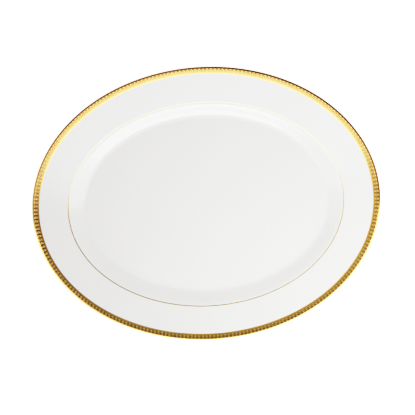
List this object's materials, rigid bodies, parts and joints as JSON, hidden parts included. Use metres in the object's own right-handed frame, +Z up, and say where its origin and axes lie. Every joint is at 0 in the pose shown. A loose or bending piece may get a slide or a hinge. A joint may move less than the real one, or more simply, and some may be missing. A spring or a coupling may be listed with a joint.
{
  "type": "oval serving platter",
  "caption": "Oval white china serving platter with a sloped rim, a low foot ring, a relief-patterned gold band at the lip and a thin gold line round the well.",
  "frame": {"origin": "centre of the oval, on the plane that the foot ring stands on", "axes": "+X along the length of the oval, +Y across it, +Z up out of the well"},
  "size_m": [0.356, 0.28, 0.028],
  "materials": {
    "glazed_china": "gloss",
    "bare_china": "matte",
    "burnished_gold": "polished",
    "etched_gold": "satin"
  },
  "bodies": {
    "root": {"china_body": "glazed_china", "foot_ring": "glazed_china", "foot_bare_edge": "bare_china", "gold_lip_edge": "burnished_gold", "gold_relief_band": "etched_gold", "gold_inner_border": "burnished_gold", "gold_verge_line": "burnished_gold"}
  },
  "joints": []
}
